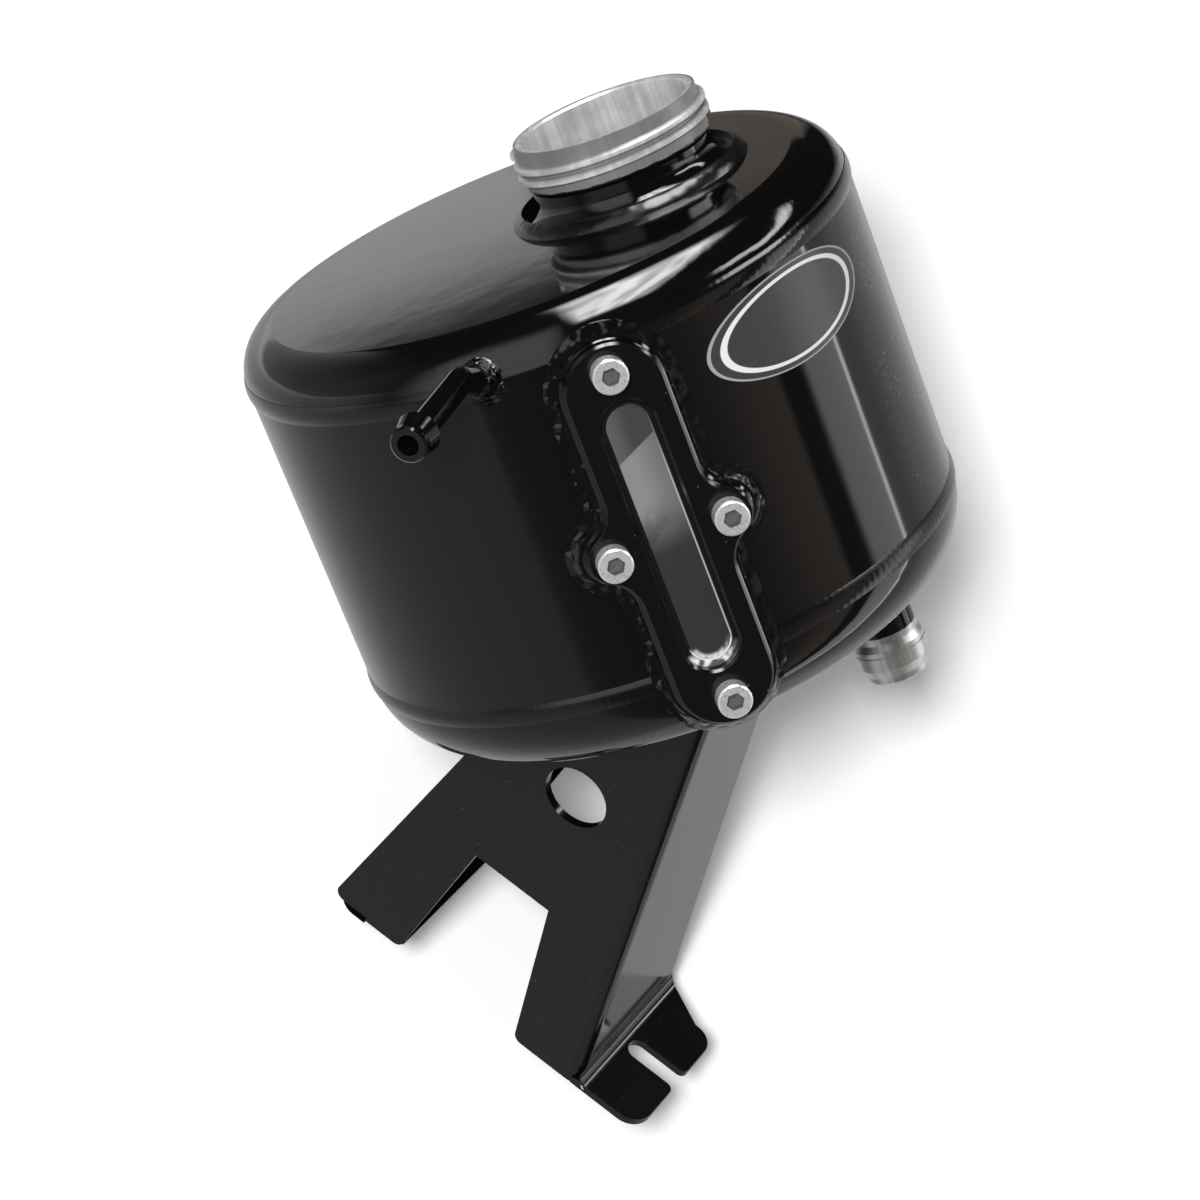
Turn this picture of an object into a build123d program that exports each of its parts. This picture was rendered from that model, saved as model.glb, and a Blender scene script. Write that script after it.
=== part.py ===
from build123d import *
from math import cos, radians, sin, tan
import os

os.makedirs("parts", exist_ok=True)

# Frame
# +Z runs up the drum's axis and the sight glass faces -Y. The pieces are drawn about
# the centre of the drum's flat underside, and then moved so that the origin is on the
# feet's underside, midway between the two fixing bolts.

# Drum
drum_radius = 80.0
drum_height = 116.4
drum_wall = 2.5
top_knuckle = 11.0
base_knuckle = 21.0
cap_skirt = 0.6
seam_bead_width = 5.0
seam_bead_height = 0.55

# Filler neck
neck_offset = 27.5
neck_bore_radius = 21.5
neck_root_radius = 23.9
neck_crest_radius = 25.4
neck_thread_pitch = 3.0
neck_thread_turns = 3.4
neck_lip = 1.0
neck_plain_height = 8.8
neck_waist_step = 0.6
neck_foot_radius = 28.0
neck_foot_flare = 4.0
neck_weld_size = 3.0

# Sight glass
glass_below_top = 59.6
glass_height = drum_height - glass_below_top
screw_half_pitch_wide = 14.6
boss_proud = 1.2
boss_sink = 10.5
boss_face = drum_radius + boss_proud
boss_back = drum_radius - boss_sink
boss_half_width = 12.6
boss_end_margin = 7.4
boss_ear_radius = 6.6
boss_ear_blend = 9.0
boss_edge_round = 0.8
boss_weld_width = 3.6
boss_weld_height = 0.9
boss_opening_width = 9.6
boss_opening_length = 66.0
window_width = 16.8
window_length = 75.0
screw_past_window = 5.3
screw_half_pitch_tall = window_length / 2 + screw_past_window
window_thickness = 3.0
window_clearance = 0.15
seal_thickness = 0.8
cover_thickness = 3.0
cover_inset = 0.6
cover_slot_width = 13.0
cover_slot_length = 70.6
cover_edge_chamfer = 0.6

# Cap screws, M5
screw_radius = 2.5
screw_head_radius = 4.25
screw_head_height = 4.2
screw_socket_width = 4.0
screw_socket_depth = 2.4
screw_length = 10.0
screw_hole_clearance = 0.25
screw_thread_clearance = 0.05

# Vent hose tail
vent_root_azimuth = -20.2
vent_root_below_top = 9.4
vent_root_height = drum_height - vent_root_below_top
vent_elbow_azimuth = -20.9
vent_elbow_below_top = 5.4
vent_elbow_height = drum_height - vent_elbow_below_top
vent_elbow_reach = 9.5
vent_elbow_radius_from_axis = drum_radius + vent_elbow_reach
vent_tail_azimuth = -27.8
vent_tail_length = 35.5
vent_tube_radius = 3.3
vent_bore_radius = 2.5
vent_bend_radius = 6.0
vent_barb_radius = 5.2
vent_nose_radius = 4.4
vent_nose_length = 2.0
vent_barb_length = 4.5
vent_weld_radius = 4.6
vent_weld_height = 3.6

# Outlet
outlet_tube_radius = 8.9
outlet_bore_radius = 7.0
outlet_bead_radius = 9.8
outlet_tip_radius = 8.5
outlet_bead_start = 21.1
outlet_bead_end = 28.4
outlet_bead_ramp = 1.8
outlet_tip = 33.3
outlet_groove_depth = 0.35
outlet_groove_width = 0.5
outlet_groove_height = 24.4
outlet_weld_size = 3.2
outlet_clearance = 0.6
outlet_offset = drum_radius - base_knuckle - outlet_tube_radius - outlet_clearance

# Mounting bracket, folded and welded sheet
sheet = 2.5
bracket_azimuth = 43.6
bracket_roll = 46.0
bracket_front_setback = 22.0
bracket_foot_level = -149.5
bracket_depth_foot = 52.0
bracket_depth_drum = 38.0
fold_x_foot = 39.0
fold_x_drum = 18.7
fold_outer_radius = 4.0
left_edge_foot = -51.0
left_edge_drum = -24.9
leg_inner_left_foot = -26.0
leg_inner_left_bar = -17.9
leg_inner_right_foot = 16.2
leg_inner_right_bar = 7.5
crossbar_level = -95.8
leg_corner_round = 3.0
foot_step_x = -38.8
foot_step = 1.4
hole_x = -0.5
hole_z = -52.3
hole_radius = 9.5
foot_reach = 21.5
foot_near_round = 7.0
foot_far_round = 6.0
foot_end_setback = 8.5
foot_end_depth = bracket_depth_foot - foot_end_setback
foot_taper_run = 7.0
foot_bend_radius = 3.5
foot_slot_width = 6.7
foot_slot_depth = 22.9
foot_slot_setback = 3.5
foot_slot_round = 2.2
bracket_weld_radius = 2.3
bracket_weld_lift = 0.3
bracket_weld_end = 3.0
corner_weld_low_end = 12.0
corner_weld_top_end = 6.0

# Label
label_azimuth = 36.7
label_below_top = 26.6
label_height = drum_height - label_below_top
label_half_width = 27.6
label_half_height = 11.6
label_thickness = 0.25

# Worked out from the sizes above
base_seam = base_knuckle + cap_skirt
top_seam = drum_height - top_knuckle - cap_skirt
cover_back = boss_face
cover_front = cover_back + cover_thickness
window_front = boss_face
window_back = window_front - window_thickness
seal_back = window_back - seal_thickness
neck_top = drum_height + neck_plain_height + neck_thread_pitch * neck_thread_turns + neck_lip


def azimuth_direction(azimuth, lift=0.0):
    """Unit vector that points out of the drum at an angle from -Y towards +X."""
    turn = radians(azimuth)
    rise = radians(lift)
    return Vector(sin(turn) * cos(rise), -cos(turn) * cos(rise), sin(rise))


def wall_point(azimuth, height, radius=drum_radius):
    """Point at a radius and height, at an angle from -Y towards +X."""
    flat = azimuth_direction(azimuth) * radius
    return Vector(flat.X, flat.Y, height)


def turned(points):
    """Solid of revolution about Z from a closed outline of (radius, height) points."""
    outline = Polyline(*[(r, 0, z) for r, z in points], close=True)
    return revolve(make_face(outline), Axis.Z, 360)


def rod(start, end, radius):
    """Plain round bar between two points."""
    way = end - start
    plane = Plane(origin=start, z_dir=way)
    return extrude(plane * Circle(radius), way.length)


def drum_profile(offset):
    """Closed outline of the drum's body, moved inwards by offset."""
    radius = drum_radius - offset
    top = drum_height - offset
    crown = top_knuckle - offset
    heel = base_knuckle - offset
    with BuildSketch(Plane.XZ) as sketch:
        with BuildLine():
            floor = Line((0, offset), (radius - heel, offset))
            low = CenterArc((radius - heel, offset + heel), heel, -90, 90)
            side = Line(low @ 1, (radius, top - crown))
            high = CenterArc((radius - crown, top - crown), crown, 0, 90)
            lid = Line(high @ 1, (0, top))
            Line(lid @ 1, floor @ 0)
        make_face()
    return sketch.sketch


def drum_solid(offset=0.0):
    """The drum's body as a full solid, moved inwards by offset."""
    return revolve(drum_profile(offset), Axis.Z, 360)


def slab(low, high):
    """Wide flat block between two heights."""
    size = 4 * drum_radius
    return Pos(0, 0, (low + high) / 2) * Box(size, size, high - low)


# Sight glass outlines, drawn on the plane y = 0 as seen from the front
def facing(depth):
    """Plane that faces -Y at a distance in front of the drum's axis."""
    return Plane(origin=(0, -depth, glass_height), x_dir=(1, 0, 0), z_dir=(0, -1, 0))


def boss_outline(inset=0.0):
    """Upright round-ended plate with a round ear at the middle of each side."""
    half_length = screw_half_pitch_tall + boss_end_margin
    body = Rectangle(2 * boss_half_width, 2 * (half_length - boss_half_width))
    for side in (-1, 1):
        body += Pos(0, side * (half_length - boss_half_width)) * Circle(boss_half_width)
        body += Pos(side * screw_half_pitch_wide, 0) * Circle(boss_ear_radius)
    waist = [v for v in body.vertices() if 0.1 < abs(v.Y) < boss_ear_radius]
    body = fillet(waist, boss_ear_blend)
    return offset(body, -inset) if inset else body


def slot_outline(width, length):
    """Upright slot with round ends."""
    return Rot(0, 0, 90) * SlotOverall(length, width)


def screw_places():
    """Centre of each cap screw on the sight glass, from its middle."""
    return {
        "top": (0, screw_half_pitch_tall),
        "bottom": (0, -screw_half_pitch_tall),
        "left": (-screw_half_pitch_wide, 0),
        "right": (screw_half_pitch_wide, 0),
    }


def prism(outline, front, back):
    """Outline on the sight glass, as a block between two distances from the axis."""
    return extrude(facing(back) * outline, front - back)


def boss_blank():
    return prism(boss_outline(), boss_face, boss_back)


def make_boss():
    """Machined block that is welded into the drum's wall."""
    body = boss_blank()
    rim = body.faces().sort_by(Axis.Y)[0].outer_wire().edges()
    body = chamfer(rim, boss_edge_round)
    body -= prism(slot_outline(boss_opening_width, boss_opening_length), boss_face, boss_back)
    pocket = slot_outline(window_width + 2 * window_clearance, window_length + 2 * window_clearance)
    body -= prism(pocket, boss_face, seal_back)
    for x, z in screw_places().values():
        hole = Pos(x, z) * Circle(screw_radius + screw_thread_clearance)
        body -= prism(hole, boss_face, cover_front - screw_length - 0.5)
    return body


def make_boss_weld():
    """Fillet weld that runs round the block on the drum's surface."""
    wide = prism(offset(boss_outline(), boss_weld_width), boss_face + 2, boss_back)
    bead = wide & drum_solid(-boss_weld_height)
    cone = extrude(facing(boss_back + 4) * offset(boss_outline(), boss_weld_width + 1.2), 6.4, taper=32)
    bead += cone
    return bead - boss_blank() - drum_solid()


def make_window():
    return prism(slot_outline(window_width, window_length), window_front, window_back)


def make_seal():
    """Flat gasket under the window, round the opening."""
    ring = slot_outline(window_width, window_length)
    ring -= slot_outline(boss_opening_width + 0.4, boss_opening_length + 0.4)
    return prism(ring, window_back, seal_back)


def make_cover():
    """Cover plate with a long slot, clamped over the window."""
    body = prism(boss_outline(cover_inset), cover_front, cover_back)
    body = chamfer(body.faces().sort_by(Axis.Y)[0].outer_wire().edges(), cover_edge_chamfer)
    body -= prism(slot_outline(cover_slot_width, cover_slot_length), cover_front, cover_back)
    mouth = [w for w in body.faces().sort_by(Axis.Y)[0].inner_wires()]
    body = chamfer([e for w in mouth for e in w.edges()], cover_edge_chamfer)
    for x, z in screw_places().values():
        body -= prism(Pos(x, z) * Circle(screw_radius + screw_hole_clearance), cover_front, cover_back)
    return body


def make_screw(place):
    """Socket head cap screw, head outwards."""
    x, z = place
    head_front = cover_front + screw_head_height
    head = prism(Pos(x, z) * Circle(screw_head_radius), head_front, cover_front)
    head = chamfer(head.faces().sort_by(Axis.Y)[0].edges(), 0.4)
    head -= prism(
        Pos(x, z) * RegularPolygon(screw_socket_width / 2, 6, major_radius=False),
        head_front,
        head_front - screw_socket_depth,
    )
    return head + prism(Pos(x, z) * Circle(screw_radius), cover_front, cover_front - screw_length)


# Filler neck
def neck_place():
    return Pos(neck_offset, 0, 0)


def make_neck():
    """Turned neck with a flared foot and an external thread."""
    bottom = drum_height - drum_wall
    shoulder = drum_height + neck_plain_height
    waist = neck_root_radius - neck_waist_step
    with BuildSketch(Plane.XZ) as sketch:
        with BuildLine():
            Line((neck_bore_radius, bottom), (waist, bottom))
            Line((waist, bottom), (waist, drum_height))
            Line((waist, drum_height), (neck_foot_radius, drum_height))
            Line((neck_foot_radius, drum_height), (neck_foot_radius, drum_height + 0.8))
            RadiusArc(
                (neck_foot_radius, drum_height + 0.8),
                (waist, drum_height + 0.8 + neck_foot_flare + 0.5),
                neck_foot_flare + 0.6,
            )
            Line((waist, drum_height + 1.3 + neck_foot_flare), (waist, shoulder - 1.0))
            Line((waist, shoulder - 1.0), (neck_root_radius, shoulder))
            Line((neck_root_radius, shoulder), (neck_root_radius, neck_top))
            Line((neck_root_radius, neck_top), (neck_bore_radius + 0.6, neck_top))
            Line((neck_bore_radius + 0.6, neck_top), (neck_bore_radius, neck_top - 0.6))
            Line((neck_bore_radius, neck_top - 0.6), (neck_bore_radius, bottom))
        make_face()
    return revolve(sketch.sketch, Axis.Z, 360)


def make_neck_thread():
    """Helical ridge of the neck's thread, truncated at its crest."""
    depth = neck_crest_radius - neck_root_radius
    start = drum_height + neck_plain_height + 0.5 * neck_thread_pitch
    half_root = 0.42 * neck_thread_pitch
    half_crest = 0.14 * neck_thread_pitch
    rise = neck_thread_pitch * (neck_thread_turns - 0.9)
    helix = Helix(neck_thread_pitch, rise, neck_root_radius - 0.2, center=(0, 0, start))
    frame = Plane(origin=helix @ 0, x_dir=(1, 0, 0), z_dir=helix % 0)
    with BuildSketch(frame) as tooth:
        with BuildLine():
            Polyline(
                (0, -half_root),
                (depth + 0.2, -half_crest),
                (depth + 0.2, half_crest),
                (0, half_root),
                close=True,
            )
        make_face()
    return sweep(tooth.sketch, helix, is_frenet=True)


def fillet_ring(radius, size, height, down=False):
    """Concave-faced weld ring round a tube that stands on a flat face."""
    sign = -1 if down else 1
    with BuildSketch(Plane.XZ) as sketch:
        with BuildLine():
            Line((radius, height), (radius + size, height))
            RadiusArc((radius + size, height), (radius, height + sign * size), -sign * 1.6 * size)
            Line((radius, height + sign * size), (radius, height))
        make_face()
    return revolve(sketch.sketch, Axis.Z, 360)


# Outlet
def make_outlet():
    """Straight tube with a raised bead that holds the hose on."""
    top = drum_wall
    start = -outlet_bead_start
    end = -outlet_bead_end
    groove = -outlet_groove_height
    half = outlet_groove_width / 2
    deep = outlet_bead_radius - outlet_groove_depth
    outline = [
        (outlet_bore_radius, top),
        (outlet_tube_radius, top),
        (outlet_tube_radius, start),
        (outlet_bead_radius, start - outlet_bead_ramp),
        (outlet_bead_radius, groove + half),
        (deep, groove),
        (outlet_bead_radius, groove - half),
        (outlet_bead_radius, end),
        (outlet_tip_radius + 0.2, end - 2.6),
        (outlet_tip_radius, -outlet_tip + 0.8),
        (outlet_tip_radius - 0.8, -outlet_tip),
        (outlet_bore_radius, -outlet_tip),
    ]
    return turned(outline)


# Vent hose tail
vent_root = wall_point(vent_root_azimuth, vent_root_height)
vent_elbow = wall_point(vent_elbow_azimuth, vent_elbow_height, vent_elbow_radius_from_axis)
vent_way = azimuth_direction(vent_tail_azimuth)
vent_rise = (vent_elbow - vent_root).normalized()
vent_tip = vent_elbow + vent_way * vent_tail_length


def vent_path(inner_end, outer_end):
    """Route of the hose tail: out of the wall, round the elbow, and along the barb."""
    return FilletPolyline(inner_end, vent_elbow, outer_end, radius=vent_bend_radius)


def make_vent():
    """Bent tube with a barbed end."""
    inner_end = vent_root - vent_rise * 5.0
    path = vent_path(inner_end, vent_tip)
    start = Plane(origin=path @ 0, z_dir=path % 0)
    tube = sweep(start * Circle(vent_tube_radius), path)
    barb_root = vent_nose_length + vent_barb_length
    outline = [
        (0, 0),
        (vent_nose_radius - 0.5, 0),
        (vent_nose_radius, 0.5),
        (vent_nose_radius, vent_nose_length),
        (vent_barb_radius, barb_root),
        (vent_tube_radius, barb_root + 0.6),
        (0, barb_root + 0.6),
    ]
    barb = Plane(origin=vent_tip, z_dir=vent_way * -1).location * turned(outline)
    bore_path = vent_path(inner_end - vent_rise * 1.0, vent_tip + vent_way * 1.0)
    bore_start = Plane(origin=bore_path @ 0, z_dir=bore_path % 0)
    return tube + barb - sweep(bore_start * Circle(vent_bore_radius), bore_path)


def vent_cutter():
    return rod(vent_root - vent_rise * 9.0, vent_root + vent_rise * 6.0, vent_tube_radius)


def make_vent_weld():
    """Cone-shaped weld round the root of the hose tail."""
    plane = Plane(origin=vent_root - vent_rise * 3.0, z_dir=vent_rise)
    height = vent_weld_height + 3.0
    cone = plane.location * Pos(0, 0, height / 2) * Cone(
        vent_weld_radius + 1.8, vent_tube_radius + 0.3, height
    )
    return cone - vent_cutter() - drum_solid()


# Mounting bracket
# In its own frame x runs across the legs, y back from the front sheet's face,
# and z away from the feet. The frame is then turned to the drum.
climb = tan(radians(bracket_roll))


def bracket_plane():
    """Bracket frame, with its origin under the drum's axis on the front sheet's face."""
    turn = radians(bracket_azimuth)
    roll = radians(bracket_roll)
    across = Vector(cos(turn), -sin(turn), 0)
    back = Vector(sin(turn), cos(turn), 0)
    x_way = across * cos(roll) - Vector(0, 0, 1) * sin(roll)
    z_way = across * sin(roll) + Vector(0, 0, 1) * cos(roll)
    return Plane(origin=back * -bracket_front_setback, x_dir=x_way, z_dir=z_way)


def side_wall_x_drum():
    """x where the left side wall's face, run up from the leg, meets the drum."""
    slope = (leg_inner_left_bar - leg_inner_left_foot) / (crossbar_level - bracket_foot_level)
    return (leg_inner_left_foot - slope * bracket_foot_level) / (1 - slope * climb)


def front_sheet_outline():
    """Front sheet with its two legs, open between them, and its round hole."""
    floor = bracket_foot_level
    points = [
        (left_edge_foot, floor + sheet),
        (foot_step_x, floor + sheet),
        (foot_step_x, floor + sheet - foot_step),
        (leg_inner_left_foot, floor + sheet - foot_step),
        (leg_inner_left_bar, crossbar_level),
        (leg_inner_right_bar, crossbar_level),
        (leg_inner_right_foot, floor),
        (fold_x_foot, floor),
        (fold_x_drum, fold_x_drum * climb),
        (left_edge_drum, left_edge_drum * climb),
    ]
    face = make_face(Polyline(*points, close=True))
    rounded = (left_edge_foot, leg_inner_left_foot, leg_inner_right_foot)
    low = [v for v in face.vertices() if v.Y < floor + 3 and any(abs(v.X - x) < 0.1 for x in rounded)]
    face = fillet(low, leg_corner_round)
    return face - Pos(hole_x, hole_z) * Circle(hole_radius)


def side_wall(x_foot, x_drum):
    """Sheet wall that runs back from the front sheet, outer face on the given edge."""
    lean = Vector(x_drum - x_foot, 0, x_drum * climb - bracket_foot_level)
    way = lean.normalized()
    tall = lean.length + 2 * bracket_depth_foot
    taper = (bracket_depth_drum - bracket_depth_foot) / lean.length
    corners = [
        (0, 0),
        (bracket_depth_foot, 0),
        (bracket_depth_foot + taper * tall, tall),
        (0, tall),
    ]
    foot = Vector(x_foot, 0, bracket_foot_level)
    outline = Polyline(*[foot + Vector(0, y, 0) + way * up for y, up in corners], close=True)
    return extrude(make_face(outline), sheet, dir=(-1, 0, 0))


def foot_outline():
    """Foot that runs out to +x from x = 0, with an open slot for the fixing bolt."""
    end = foot_reach
    points = [
        (-sheet, 0),
        (end, 0),
        (end, foot_end_depth),
        (end - foot_taper_run, foot_end_depth),
        (0, bracket_depth_foot),
        (-sheet, bracket_depth_foot),
    ]
    face = make_face(Polyline(*points, close=True))
    near = [v for v in face.vertices() if v.X > end - 0.1 and v.Y < 1]
    face = fillet(near, foot_near_round)
    far = [v for v in face.vertices() if v.X > end - 0.1 and v.Y > foot_end_depth - 1]
    face = fillet(far, foot_far_round)
    centre = foot_slot_setback + foot_slot_width / 2
    past = end + foot_slot_width
    face -= Pos(centre, foot_slot_depth) * Circle(foot_slot_width / 2)
    face -= Pos((centre + past) / 2, foot_slot_depth) * Rectangle(past - centre, foot_slot_width)
    mouth = [v for v in face.vertices() if v.X > end - 0.1 and abs(v.Y - foot_slot_depth) < foot_slot_width]
    return fillet(mouth, foot_slot_round)


def bend_profile(x_drum, x_foot, radius, outward):
    """Corner of the bend between a wall and its foot, outside a round of this radius."""
    way = Vector(x_drum - x_foot, 0, x_drum * climb - bracket_foot_level).normalized()
    out = Vector(way.Z, 0, -way.X)
    corner = Vector(x_foot, 0, bracket_foot_level) + way * (sheet / way.Z)
    up = foot_bend_radius * (1 + way.X) / way.Z
    centre = corner + out * foot_bend_radius + way * up
    side = 0 if outward else sheet
    on_wall = corner + way * up - out * side
    on_foot = Vector(centre.X, 0, corner.Z - side)
    heel = corner if outward else Vector(x_foot - sheet, 0, bracket_foot_level)
    face = make_face(Polyline(heel, on_foot, centre, on_wall, close=True))
    round_face = Plane(origin=centre, x_dir=(1, 0, 0), z_dir=(0, -1, 0)) * Circle(radius)
    return face - round_face


def bent(body, x_drum, x_foot, foot):
    """Rounds the bend between a wall and its foot, inside and out."""
    inside = bend_profile(x_drum, x_foot, foot_bend_radius, True)
    web = extrude(inside, bracket_depth_foot, dir=(0, 1, 0))
    body += web & extrude(foot, 4 * foot_bend_radius, dir=(0, 0, 1))
    outside = bend_profile(x_drum, x_foot, foot_bend_radius + sheet, False)
    return body - Pos(0, 2 * sheet, 0) * extrude(outside, 2 * bracket_depth_foot, dir=(0, 1, 0))


def make_front_sheet():
    """One folded sheet: front with two legs, right side wall and right foot."""
    front = extrude(Plane.XZ * front_sheet_outline(), -sheet)
    body = front + side_wall(fold_x_foot, fold_x_drum)
    tall = -bracket_foot_level
    folds = [e for e in body.edges() if e.bounding_box().size.Z > tall and e.bounding_box().size.Y < 0.1]
    outer = [e for e in folds if abs(e.center().Y) < 0.1 and e.center().X > hole_x]
    body = fillet(outer, fold_outer_radius)
    outline = Pos(fold_x_foot, 0, bracket_foot_level) * foot_outline()
    body += extrude(outline, sheet)
    return bent(body, fold_x_drum, fold_x_foot, outline)


def make_side_sheet():
    """One folded sheet: side wall behind the left leg, and left foot."""
    x_drum = side_wall_x_drum()
    body = side_wall(leg_inner_left_foot, x_drum)
    outline = mirror(foot_outline(), about=Plane.YZ)
    outline = Pos(leg_inner_left_foot - sheet, 0, bracket_foot_level) * outline
    body += extrude(outline, sheet)
    room = 6 * drum_radius
    behind = Pos(0, sheet / 2, 0) * Box(room, sheet, room)
    lip = Pos(foot_step_x - room / 2, sheet / 2, bracket_foot_level) * Box(room, sheet, 3 * sheet)
    return body - (behind - lip)


def placed(body):
    """Bracket piece, turned to the drum and cut off at its underside."""
    moved = bracket_plane().location * body
    return moved - Pos(0, 0, 2 * drum_height) * Box(8 * drum_radius, 8 * drum_radius, 4 * drum_height)


def bracket_rod(start, end):
    """Round weld run between two points in the bracket's frame."""
    return rod(Vector(*start), Vector(*end), bracket_weld_radius)


def make_corner_weld():
    """Weld between the side wall and the back of the front sheet."""
    x_drum = side_wall_x_drum()
    low = bracket_foot_level + corner_weld_low_end
    high = x_drum * climb - corner_weld_top_end
    slope = (leg_inner_left_bar - leg_inner_left_foot) / (crossbar_level - bracket_foot_level)
    ends = [(leg_inner_left_foot + slope * (z - bracket_foot_level) - sheet, sheet, z) for z in (low, high)]
    return placed(bracket_rod(*ends))


def make_base_weld():
    """Welds between the tops of the bracket's sheets and the drum's underside."""
    front_end = fold_x_drum - 2 * fold_outer_radius
    front_start = left_edge_drum + bracket_weld_end
    front = bracket_rod(
        (front_start, -bracket_weld_lift, front_start * climb),
        (front_end, -bracket_weld_lift, front_end * climb),
    )
    runs = [front]
    for x in (fold_x_drum + bracket_weld_lift, side_wall_x_drum() - bracket_weld_lift):
        start = (x, sheet + bracket_weld_end, x * climb)
        end = (x, bracket_depth_drum - bracket_weld_end, x * climb)
        runs.append(bracket_rod(start, end))
    return [placed(run) for run in runs]


# Label
def make_label():
    """Thin oval label that follows the drum's side."""
    out = azimuth_direction(label_azimuth)
    plane = Plane(origin=(0, 0, label_height), x_dir=out.cross(Vector(0, 0, -1)), z_dir=out)
    oval = extrude(plane * Ellipse(label_half_width, label_half_height), 2 * drum_radius)
    skin = Cylinder(drum_radius + label_thickness, 2 * drum_height) - Cylinder(drum_radius, 2 * drum_height)
    return oval & skin


def make_seam(height):
    """Low convex weld bead round the drum."""
    half = seam_bead_width / 2
    with BuildSketch(Plane.XZ) as sketch:
        with BuildLine():
            ThreePointArc(
                (drum_radius, height - half),
                (drum_radius + seam_bead_height, height),
                (drum_radius, height + half),
            )
            Line((drum_radius, height + half), (drum_radius - 1, height + half))
            Line((drum_radius - 1, height + half), (drum_radius - 1, height - half))
            Line((drum_radius - 1, height - half), (drum_radius, height - half))
        make_face()
    return revolve(sketch.sketch, Axis.Z, 360) - drum_solid()


def build():
    """All pieces, by name."""
    shell = drum_solid() - drum_solid(drum_wall)
    boss_room = prism(boss_outline(), boss_face + 5, boss_back)
    weld_room = prism(offset(boss_outline(), boss_weld_width), boss_face + 5, boss_back)
    vent_hole = vent_cutter()
    shell -= boss_room
    shell -= vent_hole
    shell -= Pos(neck_offset, 0, drum_height) * Cylinder(neck_root_radius - neck_waist_step, 4 * drum_wall)
    shell -= Pos(outlet_offset, 0, 0) * Cylinder(outlet_tube_radius, 4 * drum_wall)

    pieces = {}
    pieces["drum_wrapper"] = shell & slab(base_seam, top_seam)
    pieces["top_end_cap"] = shell & slab(top_seam, 2 * drum_height)
    pieces["base_end_cap"] = shell & slab(-drum_height, base_seam)
    boss_weld = make_boss_weld() - vent_hole
    vent_weld = make_vent_weld()
    pieces["top_seam_weld"] = make_seam(top_seam) - weld_room - vent_hole - vent_weld
    pieces["base_seam_weld"] = make_seam(base_seam) - weld_room

    pieces["filler_neck"] = neck_place() * (make_neck() + make_neck_thread())
    pieces["filler_neck_weld"] = neck_place() * fillet_ring(neck_foot_radius, neck_weld_size, drum_height)

    pieces["sight_glass_block"] = make_boss()
    pieces["sight_glass_block_weld"] = boss_weld
    pieces["sight_window"] = make_window()
    pieces["window_seal"] = make_seal()
    pieces["sight_glass_cover"] = make_cover()
    for side, place in screw_places().items():
        pieces["cover_screw_" + side] = make_screw(place)

    pieces["vent_hose_tail"] = make_vent()
    pieces["vent_weld"] = vent_weld
    pieces["outlet_tube"] = Pos(outlet_offset, 0, 0) * make_outlet()
    pieces["outlet_weld"] = Pos(outlet_offset, 0, 0) * fillet_ring(
        outlet_tube_radius, outlet_weld_size, 0, down=True
    )

    front_sheet = placed(make_front_sheet())
    side_sheet = placed(make_side_sheet())
    pieces["bracket_front_sheet"] = front_sheet
    pieces["bracket_side_sheet"] = side_sheet
    corner_weld = make_corner_weld() - front_sheet - side_sheet
    pieces["bracket_corner_weld"] = corner_weld
    runs = [run - front_sheet - side_sheet - corner_weld for run in make_base_weld()]
    pieces["bracket_base_weld"] = Compound(children=[solid for run in runs for solid in run.solids()])
    pieces["oval_label"] = make_label()
    return pieces


def bolt_places():
    """Where the two fixing bolts pass the feet's underside, drawn about the drum."""
    inset = foot_slot_setback + foot_slot_width / 2
    right = (fold_x_foot + inset, foot_slot_depth, bracket_foot_level)
    left = (leg_inner_left_foot - sheet - inset, foot_slot_depth, bracket_foot_level)
    plane = bracket_plane()
    return plane.from_local_coords(left), plane.from_local_coords(right)


def home():
    """The part's origin, drawn about the drum."""
    left, right = bolt_places()
    return (left + right) * 0.5


if __name__ == "__main__":
    shift = Location(home() * -1)
    for name, piece in build().items():
        export_step(shift * piece, "parts/" + name + ".step")
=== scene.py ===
import math

import bpy
import numpy as np
from mathutils import Matrix, Vector


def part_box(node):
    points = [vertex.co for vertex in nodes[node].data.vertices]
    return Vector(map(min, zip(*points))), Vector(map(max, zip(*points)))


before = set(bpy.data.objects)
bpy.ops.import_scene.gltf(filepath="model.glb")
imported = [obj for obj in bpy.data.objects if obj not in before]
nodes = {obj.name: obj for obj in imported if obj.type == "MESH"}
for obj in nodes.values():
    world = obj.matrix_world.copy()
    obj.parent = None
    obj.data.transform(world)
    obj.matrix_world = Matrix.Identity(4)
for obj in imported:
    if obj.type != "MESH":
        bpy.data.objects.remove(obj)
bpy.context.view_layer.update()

# Metres in a millimetre and degrees in a radian
MM = 0.001
DEGREES = 180 / math.pi

# Driving places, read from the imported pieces
wrapper_low, wrapper_high = (Vector(corner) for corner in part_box("drum_wrapper"))
base_low, base_high = (Vector(corner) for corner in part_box("base_end_cap"))
neck_low, neck_high = (Vector(corner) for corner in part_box("filler_neck"))
outlet_low, outlet_high = (Vector(corner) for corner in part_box("outlet_tube"))
label_low, label_high = (Vector(corner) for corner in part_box("oval_label"))
window_low, window_high = (Vector(corner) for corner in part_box("sight_window"))

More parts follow.
